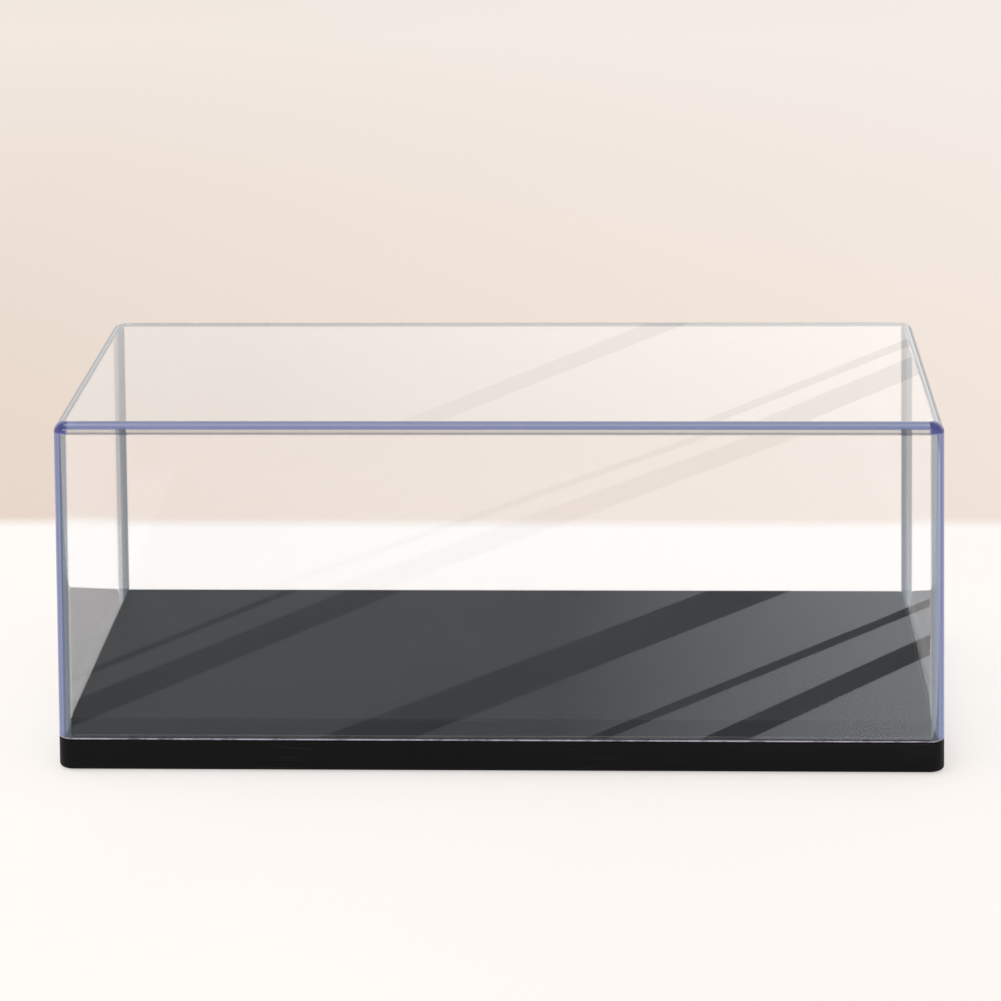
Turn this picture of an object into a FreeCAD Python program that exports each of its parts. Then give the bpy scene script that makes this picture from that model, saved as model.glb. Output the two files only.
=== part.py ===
import FreeCAD, Part
import math
import os

import Sketcher

DOC = FreeCAD.newDocument("display_case")

# Driving sizes in millimetres and degrees: (alias, value, what it is).
SIZES = [
    ("case_length", 240.0, "foot of the base, along X"),
    ("case_depth", 120.0, "foot of the base, along Y"),
    ("case_height", 97.0, "stand plane to the top of the cover"),
    ("corner_radius", 4.4, "rounding of the upright edges outside, at the foot"),
    ("crown_radius", 3.2, "rounding round the top of the cover outside"),
    ("wall_draft", 1.4, "lean of every outer wall, for the mould"),
    ("cover_wall", 1.8, "thickness of the clear cover"),
    ("cover_lip_break", 0.25, "bevel on the foot of the cover"),
    ("cover_lip_flare", -45.0, "slope of that bevel; it widens upwards"),
    ("base_wall", 2.0, "thickness of the base moulding"),
    ("seam_height", 9.0, "stand plane to the ledge that the cover stands on"),
    ("deck_height", 14.2, "stand plane to the deck"),
    ("deck_gap", 1.0, "cover to the foot of the raised deck"),
    ("deck_draft", 5.0, "lean of the raised deck's side"),
    ("deck_corner", 1.6, "rounding of the raised deck's upright edges, at the foot"),
    ("hollow_corner", 0.8, "rounding of the upright edges in the hollow below the deck"),
    ("deck_edge", 0.7, "rounding round the top of the deck"),
    ("foot_edge", 0.9, "rounding round the foot of the base"),
    ("rib_width", 1.2, "thickness of the ribs below the deck"),
    ("rib_lift", 1.5, "how far the ribs stop above the foot of the base"),
    ("cross_ribs", 10, "ribs that run along Y"),
    ("long_ribs", 4, "ribs that run along X"),
    ("pad_diameter", 12.0, "foot pad"),
    ("pad_height", 1.6, "foot pad"),
    ("pad_proud", 0.4, "how far a pad stands below the base"),
    ("pad_edge", 0.3, "rounding round the sole of a pad"),
    ("boss_wall", 1.5, "thickness of the tube that a pad sits on"),
]

# Sizes worked out from the driving ones, as sheet formulas.
DERIVED = [
    ("rim_height", "=seam_height - pad_proud"),
    ("lean_in", "=rim_height * tan(wall_draft * 1deg)"),
    ("seam_corner", "=corner_radius - lean_in"),
    ("seam_length", "=case_length - 2 * lean_in"),
    ("seam_depth", "=case_depth - 2 * lean_in"),
    ("cover_height", "=case_height - seam_height"),
    ("lip_length", "=seam_length - 2 * cover_lip_break"),
    ("lip_depth", "=seam_depth - 2 * cover_lip_break"),
    ("lip_corner", "=seam_corner - cover_lip_break"),
    ("space_length", "=seam_length - 2 * cover_wall"),
    ("space_depth", "=seam_depth - 2 * cover_wall"),
    ("space_corner", "=seam_corner"),
    ("space_height", "=cover_height - cover_wall"),
    ("space_crown", "=crown_radius - cover_wall"),
    ("deck_inset", "=cover_wall + deck_gap"),
    ("deck_length", "=seam_length - 2 * deck_inset"),
    ("deck_depth", "=seam_depth - 2 * deck_inset"),
    ("deck_rise", "=deck_height - seam_height"),
    ("rim_hollow_length", "=case_length - 2 * base_wall"),
    ("rim_hollow_depth", "=case_depth - 2 * base_wall"),
    ("rim_hollow_corner", "=corner_radius - base_wall"),
    ("rim_hollow_height", "=rim_height - base_wall"),
    ("deck_hollow_length", "=deck_length - 2 * base_wall"),
    ("deck_hollow_depth", "=deck_depth - 2 * base_wall"),
    ("deck_hollow_height", "=deck_height - pad_proud - base_wall"),
    ("rib_bottom", "=pad_proud + rib_lift"),
    ("rib_reach", "=base_wall / 2"),
    ("low_rib_height", "=seam_height - base_wall / 2 - rib_bottom"),
    ("high_rib_height", "=deck_height - base_wall / 2 - rib_bottom"),
    ("low_rib_length", "=case_length - 2 * rib_reach - 2 * lean_in"),
    ("low_rib_depth", "=case_depth - 2 * rib_reach - 2 * lean_in"),
    ("high_rib_length", "=deck_hollow_length + rib_reach"),
    ("high_rib_depth", "=deck_hollow_depth + rib_reach"),
    ("cross_pitch", "=case_length / (cross_ribs + 1)"),
    ("long_pitch", "=case_depth / (long_ribs + 1)"),
    ("pad_x", "=(case_length - cross_pitch) / 2"),
    ("pad_y", "=(case_depth - long_pitch) / 2"),
    ("pad_radius", "=pad_diameter / 2"),
    ("boss_height", "=deck_height - base_wall / 2 - pad_height"),
    ("boss_core", "=pad_radius - boss_wall"),
    ("boss_core_height", "=boss_height - base_wall / 2"),
    ("boss_web", "=pad_diameter - boss_wall"),
]

SHEET = "Sizes"
ALIASES = {row[0] for row in SIZES + DERIVED}
NEAR = 1e-4
FIRST_GUESS = 2.0
QUARTER_TURN = math.radians(90)

# Where the four foot pads sit: (name, side along X, side along Y).
CORNERS = [
    ("front_left", -1, -1),
    ("front_right", 1, -1),
    ("back_left", -1, 1),
    ("back_right", 1, 1),
]


def make_sheet():
    """Fill the spreadsheet that every feature reads its sizes from."""
    sheet = DOC.addObject("Spreadsheet::Sheet", SHEET)
    rows = [(alias, str(value)) for alias, value, _ in SIZES]
    rows += DERIVED
    for row, (alias, content) in enumerate(rows, start=1):
        sheet.set(f"A{row}", alias)
        sheet.set(f"B{row}", content)
        sheet.setAlias(f"B{row}", alias)
    DOC.recompute()


def bind(thing, path, formula):
    """Tie one property of an object to the sheet; names in the formula are sheet aliases."""
    tied = [f"<<{SHEET}>>.{word}" if word in ALIASES else word for word in formula.split()]
    thing.setExpression(path, " ".join(tied))


def size_of(alias):
    """Read a worked-out size back from the sheet."""
    return float(DOC.getObject(SHEET).get(alias))


def origin_plane(body, role):
    """Give one of a body's own origin planes."""
    for feature in body.Origin.OriginFeatures:
        if feature.Role == role:
            return feature
    raise ValueError(f"no origin feature {role}")


def flat_sketch(body, name, level=None, shift_x=None, shift_y=None):
    """Put an empty sketch on a body's floor plane, moved by sheet formulas."""
    sketch = body.newObject("Sketcher::SketchObject", name)
    sketch.AttachmentSupport = [(origin_plane(body, "XY_Plane"), "")]
    sketch.MapMode = "FlatFace"
    for axis, formula in (("x", shift_x), ("y", shift_y), ("z", level)):
        if formula:
            bind(sketch, f".AttachmentOffset.Base.{axis}", formula)
    return sketch


def hold_size(sketch, name, formula, *constraint):
    """Add one dimension to a sketch and tie it to a sheet formula."""
    place = sketch.addConstraint(Sketcher.Constraint(*constraint))
    sketch.renameConstraint(place, name)
    bind(sketch, f"Constraints.{name}", formula)


def draw_rectangle(sketch, size_x, size_y):
    """Draw a rectangle centred on the sketch's origin, sized by sheet formulas."""
    corners = [(-1, -1), (1, -1), (1, 1), (-1, 1)]
    for start, end in zip(corners, corners[1:] + corners[:1]):
        first = FreeCAD.Vector(start[0], start[1], 0)
        last = FreeCAD.Vector(end[0], end[1], 0)
        sketch.addGeometry(Part.LineSegment(first, last), False)
    for line in range(4):
        sketch.addConstraint(Sketcher.Constraint("Coincident", line, 2, (line + 1) % 4, 1))
    for line, kind in enumerate(("Horizontal", "Vertical", "Horizontal", "Vertical")):
        sketch.addConstraint(Sketcher.Constraint(kind, line))
    sketch.addConstraint(Sketcher.Constraint("Symmetric", 0, 1, 2, 1, -1, 1))
    hold_size(sketch, "width", size_x, "DistanceX", 0, 1, 0, 2, FIRST_GUESS)
    hold_size(sketch, "breadth", size_y, "DistanceY", 1, 1, 1, 2, FIRST_GUESS)


def draw_rounded_rectangle(sketch, size_x, size_y, radius):
    """Draw a rectangle with equal round corners, centred on the sketch's origin."""
    # The first guess is near the driven shape, so that the solver keeps every corner turned outwards.
    half_x = size_of("case_length") / 2
    half_y = size_of("case_depth") / 2
    turn = size_of("corner_radius")
    sides = [(0, -1), (1, 0), (0, 1), (-1, 0)]
    for out_x, out_y in sides:
        middle = FreeCAD.Vector(out_x * half_x, out_y * half_y, 0)
        reach = FreeCAD.Vector(-out_y * (half_x - turn), out_x * (half_y - turn), 0)
        sketch.addGeometry(Part.LineSegment(middle - reach, middle + reach), False)
    for corner, (out_x, out_y) in enumerate([(1, -1), (1, 1), (-1, 1), (-1, -1)]):
        centre = FreeCAD.Vector(out_x * (half_x - turn), out_y * (half_y - turn), 0)
        ring = Part.Circle(centre, FreeCAD.Vector(0, 0, 1), turn)
        start = QUARTER_TURN * (corner - 1)
        bend = Part.ArcOfCircle(ring, start, start + QUARTER_TURN)
        arc = sketch.addGeometry(bend, False)
        sketch.addConstraint(Sketcher.Constraint("Tangent", corner, 2, arc, 1))
        sketch.addConstraint(Sketcher.Constraint("Tangent", arc, 2, (corner + 1) % 4, 1))
        if corner:
            sketch.addConstraint(Sketcher.Constraint("Equal", arc - corner, arc))
    sketch.addConstraint(Sketcher.Constraint("Vertical", 1))
    sketch.addConstraint(Sketcher.Constraint("Horizontal", 2))
    sketch.addConstraint(Sketcher.Constraint("Symmetric", 0, 1, 0, 2, -2))
    sketch.addConstraint(Sketcher.Constraint("Symmetric", 3, 1, 3, 2, -1))
    hold_size(sketch, "width", size_x, "DistanceX", 3, 1, 1, 1, 2 * half_x)
    hold_size(sketch, "breadth", size_y, "DistanceY", 0, 1, 2, 1, 2 * half_y)
    hold_size(sketch, "radius", radius, "Radius", arc, turn)


def draw_circle(sketch, radius):
    """Draw a circle on the sketch's origin, sized by a sheet formula."""
    ring = Part.Circle(FreeCAD.Vector(0, 0, 0), FreeCAD.Vector(0, 0, 1), FIRST_GUESS)
    line = sketch.addGeometry(ring, False)
    sketch.addConstraint(Sketcher.Constraint("Coincident", line, 3, -1, 1))
    hold_size(sketch, "radius", radius, "Radius", line, FIRST_GUESS)


def raise_sketch(body, sketch, height, lean=None):
    """Pad a sketch upwards, narrowing by a lean angle when one is named."""
    pad = body.newObject("PartDesign::Pad", f"{sketch.Name}_pad")
    pad.Profile = sketch
    bind(pad, "Length", height)
    if lean:
        bind(pad, "TaperAngle", f"-1 * {lean}")
    DOC.recompute()
    return pad


def sink_sketch(body, sketch, height, lean=None):
    """Pocket a sketch upwards into the body, narrowing by a lean angle when one is named."""
    pocket = body.newObject("PartDesign::Pocket", f"{sketch.Name}_pocket")
    pocket.Profile = sketch
    pocket.Reversed = True
    bind(pocket, "Length", height)
    if lean:
        bind(pocket, "TaperAngle", f"-1 * {lean}")
    DOC.recompute()
    return pocket


def repeat(body, feature, role, span, count):
    """Repeat a feature along one of the body's own axes."""
    row = body.newObject("PartDesign::LinearPattern", f"{feature.Name}_row")
    row.Originals = [feature]
    row.Direction = (origin_plane(body, role), [""])
    bind(row, "Length", span)
    bind(row, "Occurrences", count)
    body.Tip = row
    DOC.recompute()
    return row


def edge_names(feature, wanted):
    """Name the edges of a feature's shape that pass a test."""
    edges = enumerate(feature.Shape.Edges, start=1)
    return [f"Edge{place}" for place, edge in edges if wanted(edge)]


def lies_at(edge, level):
    """Tell whether an edge lies flat at one height of its body."""
    box = edge.BoundBox
    return abs(box.ZMin - level) < NEAR and abs(box.ZMax - level) < NEAR


def lies_inside(edge, half_x, half_y):
    """Tell whether an edge stays inside an upright box about the body's Z axis."""
    box = edge.BoundBox
    reach_x = max(abs(box.XMin), abs(box.XMax))
    reach_y = max(abs(box.YMin), abs(box.YMax))
    return reach_x < half_x + NEAR and reach_y < half_y + NEAR


def soften(body, kind, feature, names, size):
    """Round ("Fillet") or bevel ("Chamfer") named edges by a sheet size."""
    edge_break = body.newObject(f"PartDesign::{kind}", f"{feature.Name}_{kind.lower()}")
    edge_break.Base = (feature, names)
    bind(edge_break, "Radius" if kind == "Fillet" else "Size", size)
    DOC.recompute()
    return edge_break


def new_body(name):
    """Start one sub-part."""
    body = DOC.addObject("PartDesign::Body", name)
    body.Label = name
    return body


def make_cover():
    """Model the clear cover, standing on the ledge of the base."""
    body = new_body("cover")
    bind(body, ".Placement.Base.z", "seam_height")
    lip = flat_sketch(body, "cover_lip")
    draw_rounded_rectangle(lip, "lip_length", "lip_depth", "lip_corner")
    raise_sketch(body, lip, "cover_lip_break", "cover_lip_flare")
    outline = flat_sketch(body, "cover_outline", "cover_lip_break")
    draw_rounded_rectangle(outline, "seam_length", "seam_depth", "seam_corner")
    block = raise_sketch(body, outline, "cover_height - cover_lip_break", "wall_draft")
    top = size_of("cover_height")
    crown = edge_names(block, lambda edge: lies_at(edge, top))
    soften(body, "Fillet", block, crown, "crown_radius")
    hollow = flat_sketch(body, "cover_hollow")
    draw_rounded_rectangle(hollow, "space_length", "space_depth", "space_corner")
    inside = sink_sketch(body, hollow, "space_height", "wall_draft")
    ceiling = size_of("space_height")
    inner_crown = edge_names(inside, lambda edge: lies_at(edge, ceiling))
    shell = soften(body, "Fillet", inside, inner_crown, "space_crown")
    half_x = size_of("space_length") / 2
    half_y = size_of("space_depth") / 2
    inner_lip = edge_names(
        shell, lambda edge: lies_at(edge, 0.0) and lies_inside(edge, half_x, half_y)
    )
    soften(body, "Chamfer", shell, inner_lip, "cover_lip_break")
    return body


def make_base_shell(body):
    """Model the rim, ledge, raised deck and the hollow below them."""
    rim = flat_sketch(body, "rim_outline", "pad_proud")
    draw_rounded_rectangle(rim, "case_length", "case_depth", "corner_radius")
    rim_pad = raise_sketch(body, rim, "rim_height", "wall_draft")
    seam = size_of("seam_height")
    seam_edges = edge_names(rim_pad, lambda edge: lies_at(edge, seam))
    soften(body, "Chamfer", rim_pad, seam_edges, "cover_lip_break")

    deck = flat_sketch(body, "deck_outline", "seam_height")
    draw_rounded_rectangle(deck, "deck_length", "deck_depth", "deck_corner")
    deck_pad = raise_sketch(body, deck, "deck_rise", "deck_draft")
    top = size_of("deck_height")
    deck_rim = edge_names(deck_pad, lambda edge: lies_at(edge, top))
    deck_soft = soften(body, "Fillet", deck_pad, deck_rim, "deck_edge")
    foot = size_of("pad_proud")
    foot_rim = edge_names(deck_soft, lambda edge: lies_at(edge, foot))
    soften(body, "Fillet", deck_soft, foot_rim, "foot_edge")

    rim_hollow = flat_sketch(body, "rim_hollow", "pad_proud")
    draw_rounded_rectangle(
        rim_hollow, "rim_hollow_length", "rim_hollow_depth", "rim_hollow_corner"
    )
    sink_sketch(body, rim_hollow, "rim_hollow_height", "wall_draft")
    deck_hollow = flat_sketch(body, "deck_hollow", "pad_proud")
    draw_rounded_rectangle(
        deck_hollow, "deck_hollow_length", "deck_hollow_depth", "hollow_corner"
    )
    sink_sketch(body, deck_hollow, "deck_hollow_height")


def make_ribs(body):
    """Model the crossing ribs: long ones in the rim, taller ones up to the deck."""
    for level, length, depth, height in (
        ("low", "low_rib_length", "low_rib_depth", "low_rib_height"),
        ("high", "high_rib_length", "high_rib_depth", "high_rib_height"),
    ):
        cross = flat_sketch(
            body, f"cross_rib_{level}", "rib_bottom", shift_x="cross_pitch - case_length / 2"
        )
        draw_rectangle(cross, "rib_width", depth)
        cross_pad = raise_sketch(body, cross, height)
        repeat(body, cross_pad, "X_Axis", "cross_pitch * ( cross_ribs - 1 )", "cross_ribs")
        long_rib = flat_sketch(
            body, f"long_rib_{level}", "rib_bottom", shift_y="long_pitch - case_depth / 2"
        )
        draw_rectangle(long_rib, length, "rib_width")
        long_pad = raise_sketch(body, long_rib, height)
        repeat(body, long_pad, "Y_Axis", "long_pitch * ( long_ribs - 1 )", "long_ribs")


def make_bosses(body):
    """Model the tube with a cross inside that each foot pad is stuck to."""
    for corner, side_x, side_y in CORNERS:
        place = {"shift_x": f"{side_x} * pad_x", "shift_y": f"{side_y} * pad_y"}
        tube = flat_sketch(body, f"boss_{corner}", "pad_height", **place)
        draw_circle(tube, "pad_radius")
        raise_sketch(body, tube, "boss_height")
        core = flat_sketch(body, f"boss_core_{corner}", "pad_height", **place)
        draw_circle(core, "boss_core")
        sink_sketch(body, core, "boss_core_height")
        for way, across, along in (("x", "boss_web", "rib_width"), ("y", "rib_width", "boss_web")):
            web = flat_sketch(body, f"boss_web_{way}_{corner}", "pad_height", **place)
            draw_rectangle(web, across, along)
            raise_sketch(body, web, "boss_height")


def make_base():
    """Model the black base moulding."""
    body = new_body("base")
    make_base_shell(body)
    make_ribs(body)
    make_bosses(body)
    return body


def make_foot_pad(corner, side_x, side_y):
    """Model one soft disc under a corner of the base."""
    body = new_body(f"foot_pad_{corner}")
    bind(body, ".Placement.Base.x", f"{side_x} * pad_x")
    bind(body, ".Placement.Base.y", f"{side_y} * pad_y")
    disc = flat_sketch(body, f"disc_{corner}")
    draw_circle(disc, "pad_radius")
    pad = raise_sketch(body, disc, "pad_height")
    sole = edge_names(pad, lambda edge: lies_at(edge, 0.0))
    soften(body, "Fillet", pad, sole, "pad_edge")
    return body


def check(bodies):
    """Stop before anything is written when a feature failed or a solid is not sound."""
    for thing in DOC.Objects:
        if {"Invalid", "Error"} & set(thing.State):
            raise RuntimeError(f"{thing.Name}: {thing.State}")
    for body in bodies:
        shape = body.Shape
        if shape.isNull() or not shape.isValid() or len(shape.Solids) != 1:
            raise RuntimeError(f"{body.Label}: not one sound solid")


def main():
    """Build every sub-part, check them all and write one file for each."""
    make_sheet()
    bodies = [make_base(), make_cover()]
    bodies += [make_foot_pad(*corner) for corner in CORNERS]
    DOC.recompute()
    check(bodies)
    os.makedirs("parts", exist_ok=True)
    for body in bodies:
        body.Shape.exportStep(os.path.join("parts", f"{body.Label}.step"))


main()
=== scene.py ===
"""Looks of a scale-model display case: a clear lift-off cover on a black moulded base."""

import logging
import math
from dataclasses import dataclass, field
from enum import Enum
from typing import Iterable, Sequence

import bmesh
import bpy
from mathutils import Euler, Matrix, Vector


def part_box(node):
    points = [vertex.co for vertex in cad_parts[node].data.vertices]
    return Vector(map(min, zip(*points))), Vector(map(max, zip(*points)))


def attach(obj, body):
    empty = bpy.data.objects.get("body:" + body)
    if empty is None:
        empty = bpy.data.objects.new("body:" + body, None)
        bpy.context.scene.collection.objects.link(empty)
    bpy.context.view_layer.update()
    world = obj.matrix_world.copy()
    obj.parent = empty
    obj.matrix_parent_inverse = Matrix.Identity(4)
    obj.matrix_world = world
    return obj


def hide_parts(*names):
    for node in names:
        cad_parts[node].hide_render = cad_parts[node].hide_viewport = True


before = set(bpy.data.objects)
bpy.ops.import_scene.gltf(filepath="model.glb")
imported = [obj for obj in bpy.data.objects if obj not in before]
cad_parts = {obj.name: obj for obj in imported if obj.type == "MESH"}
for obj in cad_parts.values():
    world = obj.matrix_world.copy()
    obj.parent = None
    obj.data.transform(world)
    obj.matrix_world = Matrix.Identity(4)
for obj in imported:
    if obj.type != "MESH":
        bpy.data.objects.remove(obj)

LOG = logging.getLogger("display_case")
MM = 0.001
RIGHT_ANGLE = math.radians(90.0)
CREASE = math.radians(35.0)
TIGHTEST_CORNER = 0.15 * MM
# The cover's edge mark and its levels pick painted edge shade in Base Color and a painted edge
# glow in Emission.
EDGE_MARK = "painted_edge_shade_and_glow"
CLEAR, GREY, VIOLET, NAVY = 0.0, 0.5, 1.0, 1.5
FRONT_CORNERS, BACK_CORNERS = (0, 3), (1, 2)
NONE_OR_MORE = 0.5
WHITE = (1.0, 1.0, 1.0, 1.0)
BLACK = (0.0, 0.0, 0.0, 1.0)

Colour = tuple[float, float, float, float]
Socket = bpy.types.NodeSocket


class Body(Enum):
    """The two bodies that a piece can ride on."""

    BASE = "base"
    COVER = "cover"


class Slot(Enum):
    """The finishes that the record names."""

    BASE = "base_plastic"
    CLEAR = "clear_plastic"
    PAD = "pad_rubber"


def stand(name: str, data: bpy.types.ID) -> bpy.types.Object:
    """Put mesh, light or camera data into the scene as an object.

    Args:
        name: Name of the object.
        data: What it holds.

    Returns:
        The new object.
    """
    made = bpy.data.objects.new(name, data)
    bpy.context.scene.collection.objects.link(made)
    return made


def sheet(name: str, corners: Sequence[Vector], material: bpy.types.Material) -> bpy.types.Object:
    """Lay a flat sheet that belongs to the studio.

    Args:
        name: Name of the object.
        corners: Its four corners in order.
        material: Its finish.

    Returns:
        The new object.
    """
    data = bpy.data.meshes.new(name)
    data.from_pydata(corners, [], [(0, 1, 2, 3)])
    data.materials.append(material)
    made = stand(name, data)
    return made


# ---------------- meshes


@dataclass(frozen=True)
class Ring:
    """One level rounded-rectangle outline of a moulded skin.

    Args:
        height: Z of the outline.
        half_x: Half its length along X.
        half_y: Half its depth along Y.
        corner: Radius of its four corners.
    """

    height: float
    half_x: float
    half_y: float
    corner: float

    def points(self, steps: int) -> list[Vector]:
        """Give the outline's points, anticlockwise from the front right corner.

        Args:
            steps: Segments in each rounded corner.

        Returns:
            The points, with the same count for every ring of one skin.
        """
        found = []
        for turn, (side_x, side_y) in enumerate(((1, -1), (1, 1), (-1, 1), (-1, -1))):
            centre_x = side_x * (self.half_x - self.corner)
            centre_y = side_y * (self.half_y - self.corner)
            for step in range(steps + 1):
                angle = RIGHT_ANGLE * (turn - 1 + step / steps)
                across = self.corner * math.cos(angle)
                along = self.corner * math.sin(angle)
                found.append(Vector((centre_x + across, centre_y + along, self.height)))
        return found


@dataclass
class Outline:
    """An outline at a known height, from which the rings of one moulding are inset.

    Args:
        half_x: Half the length with no inset.
        half_y: Half the depth with no inset.
        corner: Corner radius with no inset.
    """

    half_x: float
    half_y: float
    corner: float

    def ring(self, height: float, inset: float, lean: float = 0.0) -> Ring:
        """Give the ring that lies a little inside the outline.

        Args:
            height: Z of the ring.
            inset: How far inside; the corners tighten by the same amount.
            lean: How much further inside with the corners kept.

        Returns:
            The ring.
        """
        corner = max(self.corner - inset, TIGHTEST_CORNER)
        inside = inset + lean
        return Ring(height, self.half_x - inside, self.half_y - inside, corner)


def loft(mesh: bmesh.types.BMesh, rings: Sequence[Ring], steps: int) -> list[list]:
    """Skin a closed solid over rings, with a flat cap at each end.

    Args:
        mesh: The mesh to add to.
        rings: The outlines in order; the first and last get caps.
        steps: Segments in each rounded corner.

    Returns:
        The faces of each strip between two rings, in order.
    """
    loops = [[mesh.verts.new(point) for point in ring.points(steps)] for ring in rings]
    strips = []
    count = len(loops[0])
    for upper, lower in zip(loops, loops[1:]):
        strip = []
        for place in range(count):
            after = (place + 1) % count
            corners = (upper[place], lower[place], lower[after], upper[after])
            strip.append(mesh.faces.new(corners))
        strips.append(strip)
    mesh.faces.new(loops[0])
    mesh.faces.new(list(reversed(loops[-1])))
    return strips


def block(mesh: bmesh.types.BMesh, centre: Vector, size: Vector, edge: float) -> None:
    """Add a box with softly bevelled edges, such as one moulded rib.

    Args:
        mesh: The mesh to add to.
        centre: Middle of the box.
        size: Its three sides.
        edge: Width of the bevel.
    """
    place = Matrix.Translation(centre) @ Matrix.Diagonal(size.to_4d())
    made = bmesh.ops.create_cube(mesh, size=1.0, matrix=place)
    edges = {edge_ for vert in made["verts"] for edge_ in vert.link_edges}
    bmesh.ops.bevel(mesh, geom=list(edges), offset=edge, segments=2, affect="EDGES")


def lathe(
    mesh: bmesh.types.BMesh, centre: Vector, profile: Sequence[tuple[float, float]], steps: int
) -> None:
    """Turn a profile round an upright axis into a closed solid.

    Args:
        mesh: The mesh to add to.
        centre: Where the axis stands; profile heights are added to its Z.
        profile: (radius, height) points; the first and last may lie on the axis.
        steps: Segments round the axis.
    """
    loops = []
    for radius, height in profile:
        loop = []
        for step in range(steps if radius > 0.0 else 1):
            angle = math.tau * step / steps
            spoke = Vector((radius * math.cos(angle), radius * math.sin(angle), height))
            loop.append(mesh.verts.new(centre + spoke))
        loops.append(loop)
    for first, second in zip(loops, loops[1:]):
        for step in range(steps):
            after = (step + 1) % steps
            turns = ((first, step), (second, step), (second, after), (first, after))
            corners = dict.fromkeys(loop[turn % len(loop)] for loop, turn in turns)
            mesh.faces.new(list(corners))


def shape(
    name: str, mesh: bmesh.types.BMesh, materials: Sequence[bpy.types.Material]
) -> bpy.types.Object:
    """Close a bmesh into an object with smooth faces and crisp creases.

    Args:
        name: Name of the object.
        mesh: The finished bmesh; it is freed.
        materials: The materials in slot order.

    Returns:
        The new object, linked to the scene.
    """
    bmesh.ops.recalc_face_normals(mesh, faces=mesh.faces)
    for face in mesh.faces:
        face.smooth = True
    for edge in mesh.edges:
        edge.smooth = edge.calc_face_angle(0.0) < CREASE
    data = bpy.data.meshes.new(name)
    mesh.to_mesh(data)
    mesh.free()
    made = stand(name, data)
    for material in materials:
        data.materials.append(material)
    shading = made.modifiers.new("even_shading", "WEIGHTED_NORMAL")
    shading.keep_sharp = True
    shading.weight = 80
    return made


# ---------------- shader tools


@dataclass
class Wiring:
    """Short calls for adding and joining shader nodes in one tree.

    Args:
        tree: A material's or group's node tree.
    """

    tree: bpy.types.NodeTree

    def add(self, kind: str, **settings: object) -> bpy.types.Node:
        """Add a node and set its plain properties.

        Args:
            kind: The node's Blender type name.
            **settings: Properties to set on the node.

        Returns:
            The new node.
        """
        node = self.tree.nodes.new(kind)
        for name, value in settings.items():
            setattr(node, name, value)
        return node

    def feed(self, target: Socket, source: object) -> None:
        """Join a socket to another, or give it a plain value.

        Args:
            target: The input to feed.
            source: An output socket, or a number, colour or vector.
        """
        if isinstance(source, bpy.types.NodeSocket):
            self.tree.links.new(source, target)
        else:
            target.default_value = source

    def sum(self, what: str, *values: object) -> Socket:
        """Do one step of arithmetic.

        Args:
            what: The Math node's operation.
            *values: Up to three inputs, numbers or sockets.

        Returns:
            The result socket.
        """
        node = self.add("ShaderNodeMath", operation=what)
        for target, value in zip(node.inputs, values):
            self.feed(target, value)
        return node.outputs[0]

    def spread(
        self, value: Socket, low: float, high: float, to_low: float = 0.0, to_high: float = 1.0
    ) -> Socket:
        """Map a value from one range to another, held at the ends.

        Args:
            value: The socket to map.
            low: Start of its range.
            high: End of its range.
            to_low: What the start becomes.
            to_high: What the end becomes.

        Returns:
            The mapped socket.
        """
        node = self.add("ShaderNodeMapRange", clamp=True)
        for target, source in zip(node.inputs, (value, low, high, to_low, to_high)):
            self.feed(target, source)
        return node.outputs[0]

    def blend(self, share: object, first: object, second: object) -> Socket:
        """Blend two colours.

        Args:
            share: How much of the second, from 0 to 1.
            first: Colour or socket.
            second: Colour or socket.

        Returns:
            The blended colour.
        """
        node = self.add("ShaderNodeMix", data_type="RGBA")
        self.feed(node.inputs["Factor"], share)
        colours = [item for item in node.inputs if item.type == "RGBA"]
        self.feed(colours[0], first)
        self.feed(colours[1], second)
        return next(item for item in node.outputs if item.type == "RGBA")

    def mix(self, share: object, first: Socket, second: Socket) -> Socket:
        """Mix two shaders.

        Args:
            share: How much of the second, from 0 to 1.
            first: Shader socket.
            second: Shader socket.

        Returns:
            The mixed shader.
        """
        node = self.add("ShaderNodeMixShader")
        for target, source in zip(node.inputs, (share, first, second)):
            self.feed(target, source)
        return node.outputs[0]

    def place(self) -> Socket:
        """Give the place on the piece, in metres."""
        return self.add("ShaderNodeTexCoord").outputs["Object"]

    def axes(self, place: Socket) -> list[Socket]:
        """Split a place along its axes.

        Args:
            place: The place to split.

        Returns:
            Its X, Y and Z.
        """
        node = self.add("ShaderNodeSeparateXYZ")
        self.feed(node.inputs[0], place)
        return list(node.outputs)

    def noise(self, place: Socket, scale: object, detail: float, rough: float = 0.5) -> Socket:
        """Add fractal noise.

        Args:
            place: Where it is read.
            scale: Cells in a metre.
            detail: Octaves.
            rough: Strength of the finer octaves.

        Returns:
            The noise value, from 0 to 1.
        """
        node = self.add("ShaderNodeTexNoise")
        self.feed(node.inputs["Vector"], place)
        self.feed(node.inputs["Scale"], scale)
        node.inputs["Detail"].default_value = detail
        node.inputs["Roughness"].default_value = rough
        return node.outputs[0]

    def stretch(self, place: Socket, scale: Sequence[float], turn: float) -> Socket:
        """Stretch and turn a texture's space.

        Args:
            place: The space to change.
            scale: Stretch along X, Y and Z.
            turn: Degrees about Z.

        Returns:
            The changed space.
        """
        node = self.add("ShaderNodeMapping")
        self.feed(node.inputs["Vector"], place)
        node.inputs["Scale"].default_value = scale
        node.inputs["Rotation"].default_value[2] = math.radians(turn)
        return node.outputs[0]


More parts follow.
